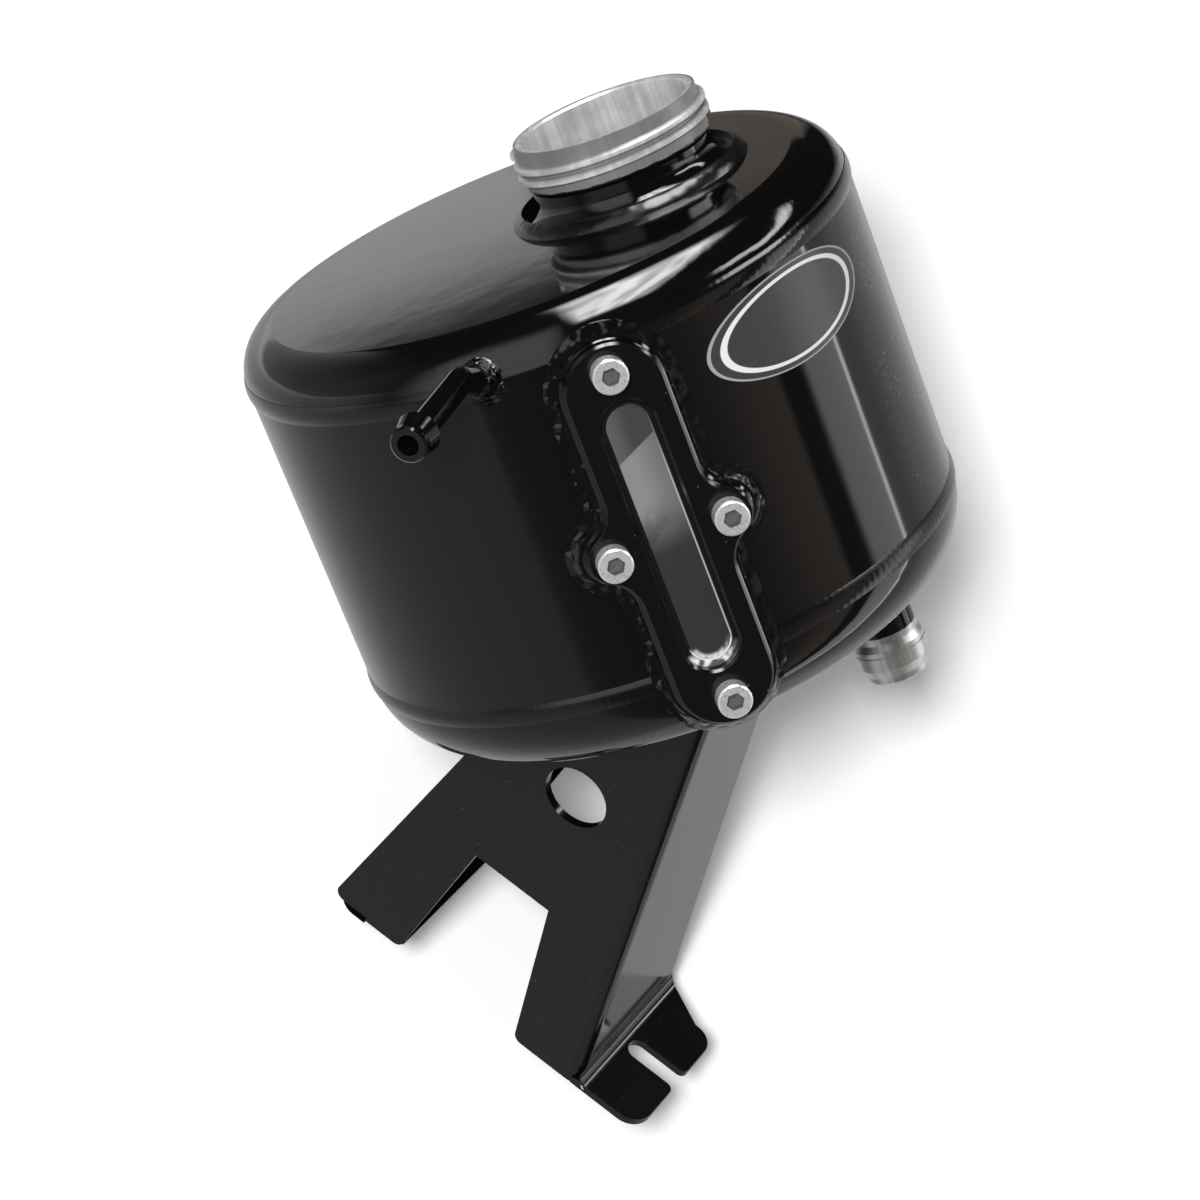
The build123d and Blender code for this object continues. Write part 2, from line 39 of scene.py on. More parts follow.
drum_axis = (wrapper_low + wrapper_high) / 2
drum_base = Vector((drum_axis.x, drum_axis.y, base_low.z))
drum_radius = (wrapper_high.x - wrapper_low.x) / 2
drum_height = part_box("top_end_cap")[1][2] - base_low.z
base_knuckle = 21.0 * MM
top_knuckle = 11.0 * MM
top_seam = drum_height - top_knuckle - 0.6 * MM
neck_axis = (neck_low + neck_high) / 2
outlet_axis = (outlet_low + outlet_high) / 2
label_middle = (label_low + label_high) / 2
window_middle = (window_low + window_high) / 2

# Coats and bare metal
neck_bare_from = drum_base.z + 125.6 * MM
neck_thread = (23.9 * MM, 25.2 * MM)
outlet_bare_below = drum_base.z - 19.2 * MM
inside_skin = 1.2 * MM
coat_ior = 1.5
coat_black = (0.0035, 0.0035, 0.0038, 1.0)
dust_grey = (0.16, 0.16, 0.16, 1.0)
scuff_grey = (0.22, 0.22, 0.21, 1.0)
# Painted highlight along the right foot's bend
bend_highlight_grey = (0.80, 0.80, 0.78, 1.0)
bare_aluminium = (0.90, 0.90, 0.89, 1.0)
stained_aluminium = (0.62, 0.61, 0.60, 1.0)
# Painted reflection streaks on turned metal
reflection_streak_grey = (0.30, 0.30, 0.30, 1.0)
lathe_line_grey = (0.22, 0.22, 0.22, 1.0)
# Painted shade in a thread's bottom
thread_shade_grey = (0.16, 0.16, 0.16, 1.0)

# Bend of the right foot, from its front end to its back end, from the drum's underside
foot_bend = (Vector((-71.9, 38.1, -132.0)) * MM, Vector((-36.1, 75.7, -132.0)) * MM)

# Label
label_azimuth = 36.7
label_half_width = 27.6 * MM
label_half_height = 11.6 * MM

# Ledge of the block round its opening, painted on the window in painted shade with a painted highlight
ledge_radius = 5.05 * MM
ledge_straight = 56.4 * MM

# Camera, placed from the middle of the drum's underside
eye_from_base = Vector((-49.1, -822.3, 326.8)) * MM
view_turn = math.radians(-2.2)
view_elevation = math.radians(20.6)
view_roll = math.radians(21.58)
lens_mm = 101.6
film_mm = 36.0
clip_end = 50.0

# Floor and lamp
floor_white = 0.92
floor_gap = 4.0 * MM
floor_reach = 3.0
floor_lift = 0.12
key_size = 0.24
key_power = 24.0
key_distance = 1.6
key_left = 0.17
key_up = 0.13

# Studio, in degrees: compass 0 is in front of the sight glass and 90 is to the right
low_board_stops = (
    (-180, 0.45), (-165, 0.60), (-150, 0.68), (-120, 0.50), (-97, 0.42), (-60, 0.38), (-45, 0.33),
    (-41, 0.14), (-34, 0.07), (-12, 0.04), (30, 0.10), (40, 0.20), (50, 0.33), (62, 0.40),
    (64.5, 0.03), (74, 0.03), (77, 1.5), (94, 1.6), (97, 0.50), (104, 0.42), (116, 0.55),
    (141, 0.66), (153, 0.70), (160, 0.55), (170, 0.42), (180, 0.45),
)
tall_board_stops = (
    (-90, 0.6), (0, 0.5), (10, 0.62), (13, 0.92), (14.2, 0.86), (14.9, 0.60), (15.4, 0.33),
    (24, 0.27), (38, 0.20), (50, 0.08), (60, 0.01),
)
board_edge_stops = (
    (0, 15.05), (1, 15.1), (2, 18), (3, 24), (5, 28), (7, 33), (15, 42), (30, 53), (58, 62), (180, 62),
)
strip_stops = ((40, 14), (66, 15), (76, 12), (87, 16), (100, 25), (115, 35), (180, 60))
slit_level = 4.0
brown_level = 0.24
skylight_level = 15.0
strip_level = 9.0
dark_level = 0.012
room_level = 0.25
warm_boards = (20, 30, 63)
warm_tint = (1.0, 0.84, 0.72, 1.0)
plain_tint = (1.0, 1.0, 1.0, 1.0)


def link(tree, start, end):
    tree.links.new(start, end)


def add(tree, kind, **values):
    """A node of a kind, with its settings."""
    node = tree.nodes.new(kind)
    for name, value in values.items():
        setattr(node, name, value)
    return node


def feed(tree, slot, value):
    """Links a socket to an input, or sets a plain value on it."""
    if hasattr(value, "is_linked"):
        link(tree, value, slot)
    else:
        slot.default_value = value


def math_node(tree, operation, first, second=None):
    """One Math node. An input is a socket or a plain number."""
    node = add(tree, "ShaderNodeMath", operation=operation)
    feed(tree, node.inputs[0], first)
    if second is not None:
        feed(tree, node.inputs[1], second)
    return node.outputs[0]


def plus(tree, first, second):
    return math_node(tree, "ADD", first, second)


def minus(tree, first, second):
    return math_node(tree, "SUBTRACT", first, second)


def times(tree, first, *others):
    for other in others:
        first = math_node(tree, "MULTIPLY", first, other)
    return first


def distance(tree, first, second):
    """Length of the flat arrow (first, second)."""
    squares = plus(tree, times(tree, first, first), times(tree, second, second))
    return math_node(tree, "POWER", squares, 0.5)


def compass_angle(tree, x, y):
    """Angle round Z in radians: 0 in front of the tank and growing to the right."""
    return math_node(tree, "ARCTAN2", x, times(tree, y, -1.0))


def span(tree, value, low, high, to_low=0.0, to_high=1.0, smooth=True):
    """Value carried from low..high to to_low..to_high, held at both ends."""
    node = add(tree, "ShaderNodeMapRange")
    node.interpolation_type = "SMOOTHSTEP" if smooth else "LINEAR"
    link(tree, value, node.inputs["Value"])
    node.inputs["From Min"].default_value = low
    node.inputs["From Max"].default_value = high
    node.inputs["To Min"].default_value = to_low
    node.inputs["To Max"].default_value = to_high
    return node.outputs["Result"]


def band(tree, value, rise, fall):
    """1 between two soft edges. Rise and fall say where each edge starts and ends."""
    return times(tree, span(tree, value, *rise), span(tree, value, *fall, 1.0, 0.0))


def mix_colour(tree, share, first, second):
    """First colour where the share is 0 and second where it is 1."""
    node = add(tree, "ShaderNodeMix", data_type="RGBA")
    for name, value in (("Factor", share), ("A", first), ("B", second)):
        slot = [s for s in node.inputs if s.name == name and s.enabled][0]
        feed(tree, slot, value)
    return [s for s in node.outputs if s.enabled][0]


def mix_number(tree, share, first, second):
    """First where the share is 0 and second where it is 1."""
    node = add(tree, "ShaderNodeMix", data_type="FLOAT")
    for slot, value in zip((node.inputs[0], node.inputs[2], node.inputs[3]), (share, first, second)):
        feed(tree, slot, value)
    return node.outputs[0]


def noise(tree, coordinates, scale, detail=2.0, roughness=0.5):
    node = add(tree, "ShaderNodeTexNoise")
    link(tree, coordinates, node.inputs["Vector"])
    node.inputs["Scale"].default_value = scale
    node.inputs["Detail"].default_value = detail
    node.inputs["Roughness"].default_value = roughness
    return node.outputs["Fac"]


def wandering(tree, coordinates, scale, detail, width):
    """Noise centred on zero and as wide as the width."""
    return times(tree, minus(tree, noise(tree, coordinates, scale, detail), 0.5), width)


def centred(tree, middle):
    """Object coordinates measured from a point."""
    where = add(tree, "ShaderNodeTexCoord")
    moved = add(tree, "ShaderNodeVectorMath", operation="SUBTRACT")
    link(tree, where.outputs["Object"], moved.inputs[0])
    moved.inputs[1].default_value = middle
    return moved.outputs[0]


def apart(tree, vector):
    node = add(tree, "ShaderNodeSeparateXYZ")
    link(tree, vector, node.inputs[0])
    return node.outputs["X"], node.outputs["Y"], node.outputs["Z"]


def together(tree, **parts):
    """Vector of the given X, Y and Z, and zero for what isn't given."""
    node = add(tree, "ShaderNodeCombineXYZ")
    for name, value in parts.items():
        link(tree, value, node.inputs[name])
    return node.outputs[0]


def new_group(name, inputs, outputs):
    """An empty shader group with its named sockets."""
    group = bpy.data.node_groups.new(name, "ShaderNodeTree")
    for label, kind, value in inputs:
        socket = group.interface.new_socket(name=label, in_out="INPUT", socket_type=kind)
        if value is not None:
            socket.default_value = value
    for label, kind in outputs:
        group.interface.new_socket(name=label, in_out="OUTPUT", socket_type=kind)
    return group, group.nodes.new("NodeGroupInput"), group.nodes.new("NodeGroupOutput")


def use_group(tree, group, **values):
    node = tree.nodes.new("ShaderNodeGroup")
    node.node_tree = group
    for name, value in values.items():
        feed(tree, node.inputs[name.replace("_", " ")], value)
    return node.outputs


def make_coat_texture():
    """Powder coat: the height of its orange peel, sparse dust specks and broad clouds."""
    group, entry, leave = new_group(
        "powder coat",
        (("Vector", "NodeSocketVector", None), ("Peel Size", "NodeSocketFloat", 260.0),
         ("Dust Size", "NodeSocketFloat", 1300.0), ("Dust", "NodeSocketFloat", 0.3)),
        (("Height", "NodeSocketFloat"), ("Dust", "NodeSocketFloat"), ("Cloud", "NodeSocketFloat")),
    )
    peel = add(group, "ShaderNodeTexNoise")
    link(group, entry.outputs["Vector"], peel.inputs["Vector"])
    link(group, entry.outputs["Peel Size"], peel.inputs["Scale"])
    peel.inputs["Detail"].default_value = 1.5
    specks = add(group, "ShaderNodeTexVoronoi")
    link(group, entry.outputs["Vector"], specks.inputs["Vector"])
    link(group, entry.outputs["Dust Size"], specks.inputs["Scale"])
    dots = span(group, specks.outputs["Distance"], 0.10, 0.22, 1.0, 0.0)
    few = add(group, "ShaderNodeSeparateColor")
    link(group, specks.outputs["Color"], few.inputs[0])
    chosen = math_node(group, "LESS_THAN", few.outputs[0], entry.outputs["Dust"])
    cloud = noise(group, entry.outputs["Vector"], 22.0, 3.0)
    link(group, peel.outputs["Fac"], leave.inputs["Height"])
    link(group, times(group, dots, chosen), leave.inputs["Dust"])
    link(group, cloud, leave.inputs["Cloud"])
    return group


def make_ripple_texture():
    """Weld ripples: even round steps along a run, with a little wander."""
    group, entry, leave = new_group(
        "weld ripples",
        (("Along", "NodeSocketFloat", 0.0), ("Vector", "NodeSocketVector", None),
         ("Step", "NodeSocketFloat", 0.0016), ("Wander", "NodeSocketFloat", 0.6)),
        (("Height", "NodeSocketFloat"),),
    )
    wander = wandering(group, entry.outputs["Vector"], 320.0, 2.0, entry.outputs["Wander"])
    steps = math_node(group, "DIVIDE", entry.outputs["Along"], entry.outputs["Step"])
    phase = math_node(group, "FRACT", plus(group, steps, wander))
    turn = times(group, minus(group, phase, 0.5), 2 * math.pi)
    link(group, math_node(group, "COSINE", turn), leave.inputs["Height"])
    return group


coat_texture = make_coat_texture()
ripple_texture = make_ripple_texture()


def new_material(name):
    material = bpy.data.materials.new(name)
    material.use_nodes = True
    tree = material.node_tree
    tree.nodes.clear()
    shader = add(tree, "ShaderNodeBsdfPrincipled")
    out = add(tree, "ShaderNodeOutputMaterial")
    link(tree, shader.outputs[0], out.inputs["Surface"])
    return material, tree, shader


def bump(tree, height, depth, below=None):
    """Normal of a height, over the normal of what lies below it."""
    node = add(tree, "ShaderNodeBump")
    node.inputs["Strength"].default_value = 1.0
    node.inputs["Distance"].default_value = depth
    link(tree, height, node.inputs["Height"])
    if below is not None:
        link(tree, below, node.inputs["Normal"])
    return node.outputs["Normal"]


def scuff_marks(tree, where, compass, z):
    """Fine scuffs on the drum's right side, in broken patches below the top seam."""
    place = band(tree, compass, (48.0, 62.0), (78.0, 100.0))
    patches = span(tree, noise(tree, where, 45.0, 2.0), 0.45, 0.62)
    below_seam = math_node(tree, "LESS_THAN", z, top_seam)
    scratches = span(tree, noise(tree, where, 900.0, 4.0, 0.7), 0.55, 0.66)
    return times(tree, place, patches, below_seam, scratches)


def dressed_height(tree, where, compass, z):
    """Gentle waves that the grinder left above the top seam, round the right side."""
    from_seam = minus(tree, z, top_seam)
    place = band(tree, from_seam, (-3.0 * MM, 0.0), (8.0 * MM, 11.0 * MM))
    right_side = span(tree, compass, 12.0, 24.0)
    return times(tree, place, right_side, noise(tree, where, 330.0, 1.0))


def painted_bend_highlight(tree, where, start, end):
    """Thin wandering painted highlight along a bend, from start to end."""
    half_width, soft_width = 0.12 * MM, 0.42 * MM
    half_level, soft_level = 0.5 * MM, 0.9 * MM
    x, y, z = apart(tree, where)
    run = (end - start).normalized()
    aside = plus(tree, times(tree, minus(tree, x, start.x), run.y),
                 times(tree, minus(tree, y, start.y), -run.x))
    aside = math_node(tree, "ABSOLUTE", plus(tree, aside, wandering(tree, where, 420.0, 2.0, 1.3 * MM)))
    level = math_node(tree, "ABSOLUTE", minus(tree, z, start.z))
    return times(tree, span(tree, aside, half_width, soft_width, 1.0, 0.0),
                 span(tree, level, half_level, soft_level, 1.0, 0.0))


def rounded_depth(tree, radius, z):
    """Distance past the drum's rounded outline, below zero inside it."""
    corners = []
    top_middle = drum_height - top_knuckle
    for middle, knuckle, way in ((base_knuckle, base_knuckle, -1.0), (top_middle, top_knuckle, 1.0)):
        out = math_node(tree, "MAXIMUM", minus(tree, radius, drum_radius - knuckle), 0.0)
        up = math_node(tree, "MAXIMUM", times(tree, minus(tree, z, middle), way), 0.0)
        corners.append(minus(tree, distance(tree, out, up), knuckle))
    return math_node(tree, "MAXIMUM", corners[0], corners[1])


def inside_mask(tree, x, y, z):
    """1 on the drum's inside, which lies deeper than a skin under its outline."""
    radius = distance(tree, x, y)
    within = math_node(tree, "LESS_THAN", radius, drum_radius - inside_skin)
    over_base = math_node(tree, "GREATER_THAN", z, inside_skin)
    under_top = math_node(tree, "LESS_THAN", z, drum_height - inside_skin)
    in_knuckles = math_node(tree, "LESS_THAN", rounded_depth(tree, radius, z), -inside_skin)
    return times(tree, within, over_base, under_top, in_knuckles)


def make_black_coat(name, gloss, peel, dust, peel_size=260.0, sheen=0.5, seam=None, lumps=None,
                    bend=None, bare_inside=False, scuffed=False):
    """Black powder coat. Seam is (step, depth, share left on the left side) of the ripples of a
    weld round the drum, and lumps is (size, depth) of a hand-laid weld. Bend is the line of a
    bend that gets a thin painted highlight, and bare_inside leaves the drum's inside as metal."""
    material, tree, shader = new_material(name)
    where = centred(tree, drum_base)
    x, y, z = apart(tree, where)
    coat = use_group(tree, coat_texture, Vector=where, Peel_Size=peel_size, Dust=dust)
    shader.inputs["IOR"].default_value = coat_ior
    shader.inputs["Specular IOR Level"].default_value = sheen
    colour = mix_colour(tree, coat["Dust"], coat_black, dust_grey)
    rough = span(tree, coat["Cloud"], 0.3, 0.7, gloss * 0.8, gloss * 1.25, smooth=False)
    rough = plus(tree, rough, times(tree, coat["Dust"], 0.3))
    normal = bump(tree, coat["Height"], peel)
    if scuffed:
        compass = times(tree, compass_angle(tree, x, y), DEGREES)
        marks = scuff_marks(tree, where, compass, z)
        colour = mix_colour(tree, marks, colour, scuff_grey)
        rough = plus(tree, rough, times(tree, marks, 0.35))
        normal = bump(tree, dressed_height(tree, where, compass, z), 0.04 * MM, below=normal)
    # Painted highlight: a thin pale line along the bend
    if bend:
        painted_highlight = painted_bend_highlight(tree, where, *bend)
        colour = mix_colour(tree, painted_highlight, colour, bend_highlight_grey)
        rough = plus(tree, rough, times(tree, painted_highlight, 0.3))
    if bare_inside:
        inside = inside_mask(tree, x, y, z)
        colour = mix_colour(tree, inside, colour, bare_aluminium)
        rough = plus(tree, rough, times(tree, inside, 0.3))
        link(tree, inside, shader.inputs["Metallic"])
    if seam:
        step, depth, left_share = seam
        along = times(tree, math_node(tree, "ARCTAN2", y, x), drum_radius)
        ripple = use_group(tree, ripple_texture, Along=along, Vector=where, Step=step)
        share = span(tree, compass_angle(tree, x, y), 0.0, 0.5, left_share, 1.0)
        normal = bump(tree, times(tree, ripple["Height"], share), depth, below=normal)
    if lumps:
        size, depth = lumps
        cells = add(tree, "ShaderNodeTexVoronoi", feature="SMOOTH_F1")
        link(tree, where, cells.inputs["Vector"])
        cells.inputs["Scale"].default_value = 1.0 / size
        normal = bump(tree, times(tree, cells.outputs["Distance"], -1.0), depth, below=normal)
    link(tree, colour, shader.inputs["Base Color"])
    link(tree, rough, shader.inputs["Roughness"])
    link(tree, normal, shader.inputs["Normal"])
    return material


def make_turned_metal(name, axis, bare_above, level, matt, thread=None):
    """Turned aluminium with fine lathe lines and painted reflection streaks round the axis, bare on one
    side of a level along Z and coated past it. Thread is (bottom, top) radius of a thread whose bottom is
    darkened with painted shade."""
    coat_edge = 0.12 * MM
    lines_per_metre = 9000.0
    material, tree, shader = new_material(name)
    where = centred(tree, axis)
    x, y, z = apart(tree, where)
    radius = distance(tree, x, y)
    height = apart(tree, add(tree, "ShaderNodeTexCoord").outputs["Object"])[2]
    height = plus(tree, height, wandering(tree, where, 260.0, 3.0, 1.0 * MM))
    below, above = (1.0, 0.0) if bare_above else (0.0, 1.0)
    coated = span(tree, height, level - coat_edge, level + coat_edge, below, above)
    bare = minus(tree, 1.0, coated)

    rings = together(tree, X=times(tree, radius, lines_per_metre), Z=times(tree, z, lines_per_metre))
    lines = noise(tree, rings, 1.0, 2.0)
    stains_and_shade_blotches = span(tree, noise(tree, where, 90.0, 4.0, 0.6), 0.35, 0.75)
    # Painted reflection: streaks that change round the axis and darken the metal
    round_way = together(tree, X=math_node(tree, "DIVIDE", x, radius), Y=math_node(tree, "DIVIDE", y, radius))
    streaks = span(tree, noise(tree, round_way, 7.0, 3.0, 0.6), 0.38, 0.62)
    metal = mix_colour(tree, stains_and_shade_blotches, bare_aluminium, stained_aluminium)
    metal = mix_colour(tree, times(tree, streaks, 0.35), metal, reflection_streak_grey)
    metal = mix_colour(tree, span(tree, lines, 0.35, 0.65, 0.25, 0.0), metal, lathe_line_grey)
    # Painted shade down in the thread's bottom
    if thread:
        bottom, top = thread
        outside = math_node(tree, "GREATER_THAN", radius, bottom - 0.6 * MM)
        deep = times(tree, span(tree, radius, bottom, top, 1.0, 0.0), outside)
        metal = mix_colour(tree, times(tree, deep, 0.8), metal, thread_shade_grey)
    link(tree, mix_colour(tree, coated, metal, coat_black), shader.inputs["Base Color"])
    link(tree, times(tree, bare, 1.0 - matt), shader.inputs["Metallic"])

    bare_rough = span(tree, lines, 0.3, 0.7, 0.30, 0.46, smooth=False)
    rough = plus(tree, times(tree, bare_rough, bare), times(tree, coated, 0.06))
    link(tree, rough, shader.inputs["Roughness"])
    link(tree, bump(tree, times(tree, lines, bare), 0.03 * MM), shader.inputs["Normal"])
    return material


def make_stainless(name, node):
    """Stainless cap screw, bright on the head and dark with shade down in its socket."""
    dark_steel, pale_steel = (0.74, 0.73, 0.71, 1.0), (0.95, 0.94, 0.92, 1.0)
    socket_shade = (0.05, 0.05, 0.05, 1.0)
    material, tree, shader = new_material(name)
    low, high = (Vector(corner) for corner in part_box(node))
    middle = (low + high) / 2
    x, y, z = apart(tree, centred(tree, Vector((middle.x, low.y, middle.z))))
    grain = noise(tree, centred(tree, drum_base), 1100.0, 3.0)
    in_hexagon = span(tree, distance(tree, x, z), 2.2 * MM, 2.5 * MM, 1.0, 0.0)
    socket = times(tree, in_hexagon, span(tree, y, 0.2 * MM, 1.0 * MM))
    steel = mix_colour(tree, grain, dark_steel, pale_steel)
    steel = mix_colour(tree, times(tree, socket, 0.78), steel, socket_shade)
    link(tree, steel, shader.inputs["Base Color"])
    shader.inputs["Metallic"].default_value = 0.62
    link(tree, span(tree, grain, 0.3, 0.7, 0.24, 0.44, smooth=False), shader.inputs["Roughness"])
    link(tree, bump(tree, grain, 0.08 * MM), shader.inputs["Normal"])
    return material


def make_window():
    """Clear plastic window with painted light and shade: a lit band, brightest below a slanting
    edge in the upper middle and fading downward with darker blotches, and a dim patch above
    the edge. The block's ledge is painted round its edge in painted shade, with a painted
    highlight along the right side and at the lower end."""
    dark_plastic, lit_pane_grey = (0.030, 0.030, 0.031, 1.0), (0.26, 0.26, 0.265, 1.0)
    ledge_shade_black, ledge_highlight_white = (0.008, 0.008, 0.008, 1.0), (0.90, 0.90, 0.90, 1.0)
    painted_glow_white = (0.85, 0.85, 0.85, 1.0)
    low_end = (-0.76, -0.82)
    material, tree, shader = new_material("clear window")
    where = centred(tree, window_middle)
    x, y, z = apart(tree, where)
    pane_noise = noise(tree, where, 60.0, 3.0)
    place = math_node(tree, "DIVIDE", z, (window_high.z - window_low.z) / 2)

    # Painted light and shade on the pane: a lit band below a slanting edge that fades downward, with darker
    # blotches, and a dim patch above the edge
    painted_pane_light = times(tree, span(tree, place, -0.14, 0.26), span(tree, x, -3.0 * MM, 5.0 * MM, 1.0, 0.6))
    stains_and_shade_blotches = span(tree, noise(tree, where, 170.0, 2.0), 0.40, 0.56, 0.55, 1.0)
    painted_pane_light = times(tree, painted_pane_light, mix_number(tree, span(tree, place, 0.0, 0.3), stains_and_shade_blotches, 1.0))
    above_slanting_edge = span(tree, plus(tree, place, times(tree, x, -12.3)), 0.590, 0.604)
    dim = plus(tree, 0.10, times(tree, span(tree, x, -5.0 * MM, 1.0 * MM, 1.0, 0.0), 0.25))
    painted_pane_light = plus(tree, mix_number(tree, above_slanting_edge, painted_pane_light, dim), times(tree, pane_noise, 0.06))
    plastic = mix_colour(tree, painted_pane_light, dark_plastic, lit_pane_grey)

    # Ledge painted round the window: painted shade, with a painted highlight along the right side and at the
    # lower end
    past_straight = minus(tree, math_node(tree, "ABSOLUTE", z), ledge_straight / 2)
    from_middle = distance(tree, math_node(tree, "MAXIMUM", past_straight, 0.0), x)
    ledge = span(tree, from_middle, ledge_radius - 0.12 * MM, ledge_radius + 0.12 * MM)
    rim_inner, rim_outer = ledge_radius + 0.25 * MM, ledge_radius + 0.55 * MM
    rim = times(tree, ledge, span(tree, from_middle, rim_inner, rim_outer, 1.0, 0.0))
    right_rim = times(tree, span(tree, x, 0.0, 3.0 * MM), span(tree, place, 0.85, 0.3, 0.05, 0.5))
    rim = times(tree, rim, math_node(tree, "MAXIMUM", right_rim, span(tree, place, *low_end)))
    broken = span(tree, noise(tree, where, 330.0, 1.0), 0.42, 0.58, 0.12, 1.0)
    bottom = times(tree, span(tree, place, -0.80, -0.86), broken)
    metal = mix_colour(tree, math_node(tree, "MAXIMUM", rim, bottom), ledge_shade_black, ledge_highlight_white)

    # Painted light just inside the ledge at the lower end
    painted_glow = times(tree, span(tree, from_middle, 3.4 * MM, 4.6 * MM), span(tree, place, *low_end))
    painted_glow = times(tree, painted_glow, span(tree, noise(tree, where, 400.0, 1.0), 0.40, 0.62, 0.1, 0.9))
    plastic = mix_colour(tree, painted_glow, plastic, painted_glow_white)
    link(tree, mix_colour(tree, ledge, plastic, metal), shader.inputs["Base Color"])
    link(tree, span(tree, pane_noise, 0.3, 0.7, 0.05, 0.14, smooth=False), shader.inputs["Roughness"])
    shader.inputs["Transmission Weight"].default_value = 0.12
    shader.inputs["IOR"].default_value = 1.49
    return material


def make_seal():
    dark_rubber, pale_rubber = (0.30, 0.30, 0.30, 1.0), (0.40, 0.40, 0.40, 1.0)
    material, tree, shader = new_material("seal rubber")
    grain = noise(tree, centred(tree, drum_base), 900.0, 2.0)
    link(tree, mix_colour(tree, grain, dark_rubber, pale_rubber), shader.inputs["Base Color"])
    link(tree, span(tree, grain, 0.3, 0.7, 0.55, 0.75, smooth=False), shader.inputs["Roughness"])
    return material


def make_label():
    """Dark label with a thin pale rim and a plain white ring inside it."""
    dark_film, worn_film = (0.035, 0.035, 0.036, 1.0), (0.050, 0.050, 0.052, 1.0)
    ring_white, rim_grey = (0.80, 0.80, 0.80, 1.0), (0.35, 0.35, 0.35, 1.0)
    material, tree, shader = new_material("label film")
    across = math.radians(label_azimuth)
    where = centred(tree, label_middle)
    x, y, z = apart(tree, where)
    flat = plus(tree, times(tree, x, math.cos(across)), times(tree, y, math.sin(across)))
    size = distance(tree, math_node(tree, "DIVIDE", flat, label_half_width),
                    math_node(tree, "DIVIDE", z, label_half_height))
    rim = span(tree, size, 0.965, 0.975)
    ring = band(tree, size, (0.80, 0.815), (0.87, 0.885))
    wear = noise(tree, where, 700.0, 2.0)
    film = mix_colour(tree, wear, dark_film, worn_film)
    film = mix_colour(tree, ring, film, ring_white)
    link(tree, mix_colour(tree, rim, film, rim_grey), shader.inputs["Base Color"])
    link(tree, span(tree, wear, 0.3, 0.7, 0.28, 0.36, smooth=False), shader.inputs["Roughness"])
    return material


def make_weld_coat(name, gloss, lump_size, lump_depth):
    return make_black_coat(name, gloss, 0.01 * MM, 0.0, lumps=(lump_size, lump_depth))


drum_coat = make_black_coat(
    "gloss black coat", 0.06, 0.01 * MM, 0.0, peel_size=110.0, bare_inside=True, scuffed=True)
block_coat = make_black_coat("block black coat", 0.08, 0.01 * MM, 0.02, bare_inside=True)
fitting_coat = make_black_coat("fitting black coat", 0.08, 0.01 * MM, 0.02)
cover_coat = make_black_coat("cover black coat", 0.16, 0.02 * MM, 0.02, peel_size=500.0)
front_coat = make_black_coat(
    "bracket black coat", 0.12, 0.012 * MM, 0.03, peel_size=420.0, sheen=0.42, bend=foot_bend)
side_coat = make_black_coat("rear bracket coat", 0.80, 0.02 * MM, 0.02, peel_size=420.0, sheen=0.0)
base_seam_coat = make_black_coat(
    "seam weld coat", 0.20, 0.01 * MM, 0.0, peel_size=330.0, seam=(2.2 * MM, 0.012 * MM, 0.4))
top_seam_coat = make_black_coat(
    "dressed seam coat", 0.12, 0.02 * MM, 0.0, peel_size=330.0, seam=(2.2 * MM, 0.005 * MM, 0.0))
vent_weld_coat = make_weld_coat("vent weld coat", 0.14, 2.2 * MM, 1.6 * MM)
neck_weld_coat = make_weld_coat("neck weld coat", 0.22, 3.0 * MM, 0.2 * MM)
weld_coat = make_weld_coat("weld coat", 0.15, 2.8 * MM, 1.1 * MM)

finishes = {
    "drum_wrapper": drum_coat,
    "top_end_cap": drum_coat,
    "base_end_cap": drum_coat,
    "top_seam_weld": top_seam_coat,
    "base_seam_weld": base_seam_coat,
    "filler_neck": make_turned_metal("turned neck", neck_axis, True, neck_bare_from, 0.62, neck_thread),
    "filler_neck_weld": neck_weld_coat,
    "sight_glass_block": block_coat,
    "sight_glass_block_weld": weld_coat,
    "sight_glass_cover": cover_coat,
    "sight_window": make_window(),
    "window_seal": make_seal(),
    "vent_hose_tail": fitting_coat,
    "vent_weld": vent_weld_coat,
    "outlet_tube": make_turned_metal("turned outlet", outlet_axis, False, outlet_bare_below, 0.1),
    "outlet_weld": weld_coat,
    "bracket_front_sheet": front_coat,
    "bracket_side_sheet": side_coat,
    "bracket_corner_weld": weld_coat,
    "bracket_base_weld": weld_coat,
    "oval_label": make_label(),
}
for side in ("top", "bottom", "left", "right"):
    finishes["cover_screw_" + side] = make_stainless("stainless screw " + side, "cover_screw_" + side)
for name, node in nodes.items():
    node.data.materials.clear()
    node.data.materials.append(finishes[name])


def make_camera():
    """Camera at the photograph's place, turned by its compass, elevation and roll. Gives its
    sight line and the directions to the right and down in its picture."""
    level = Vector((0, math.cos(view_elevation), -math.sin(view_elevation)))
    side = Vector((1, 0, 0))
    down = level.cross(side)
    image_right = math.cos(view_roll) * side + math.sin(view_roll) * down
    image_down = -math.sin(view_roll) * side + math.cos(view_roll) * down
    turn = Matrix.Rotation(view_turn, 3, "Z")
    columns = Matrix((turn @ image_right, turn @ -image_down, turn @ -level)).transposed()
    data = bpy.data.cameras.new("camera")
    data.lens = lens_mm
    data.sensor_width = film_mm
    data.sensor_fit = "HORIZONTAL"
    data.clip_end = clip_end
    camera = bpy.data.objects.new("camera", data)
    bpy.context.scene.collection.objects.link(camera)
    camera.matrix_world = Matrix.Translation(drum_base + eye_from_base) @ columns.to_4x4()
    bpy.context.scene.camera = camera
    return turn @ level, turn @ image_right, turn @ image_down


sight, image_right, image_down = make_camera()


